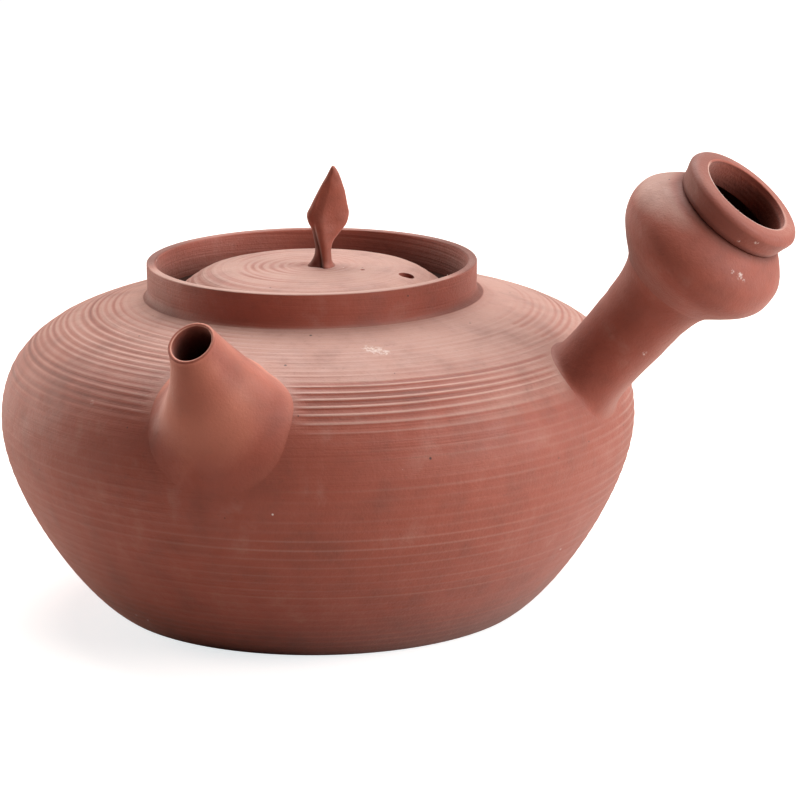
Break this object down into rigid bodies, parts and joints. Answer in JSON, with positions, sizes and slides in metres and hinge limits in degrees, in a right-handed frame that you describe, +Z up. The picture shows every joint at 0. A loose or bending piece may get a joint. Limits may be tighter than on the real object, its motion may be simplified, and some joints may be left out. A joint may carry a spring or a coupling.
{
  "type": "side-handle clay kettle",
  "caption": "Squat round unglazed clay kettle with a short spout, a hollow bulb-ended side handle and a lift-off lid that sits sunk inside its collar, with a leaf knob.",
  "frame": {"origin": "centre of the flat base, on the vessel's axis", "axes": "+Z up along the vessel's axis, +X towards the hollow side handle, which lies in the XZ plane, -Y roughly towards the spout"},
  "size_m": [0.2114, 0.1675, 0.1253],
  "materials": {
    "body_clay": "matt unglazed, with throwing rings",
    "collar_clay": "matt unglazed, smooth",
    "spout_clay": "matt unglazed, wiped smooth",
    "handle_clay": "matt unglazed, smooth",
    "lid_clay": "matt unglazed, lighter, with throwing rings",
    "leaf_clay": "matt unglazed, modelled by hand"
  },
  "bodies": {
    "kettle": {"vessel_body": "body_clay", "neck_collar": "collar_clay", "spout": "spout_clay", "handle_stem": "handle_clay", "handle_bulb": "handle_clay", "handle_end_ring": "handle_clay"},
    "lid": {"lid_plate": "lid_clay", "lid_locating_ring": "lid_clay", "lid_knob": "leaf_clay"}
  },
  "joints": [
    {"name": "lid_lift", "type": "slide", "parent": "kettle", "child": "lid", "axis": [0, 0, 1], "range_m": [0, 0.04]}
  ]
}
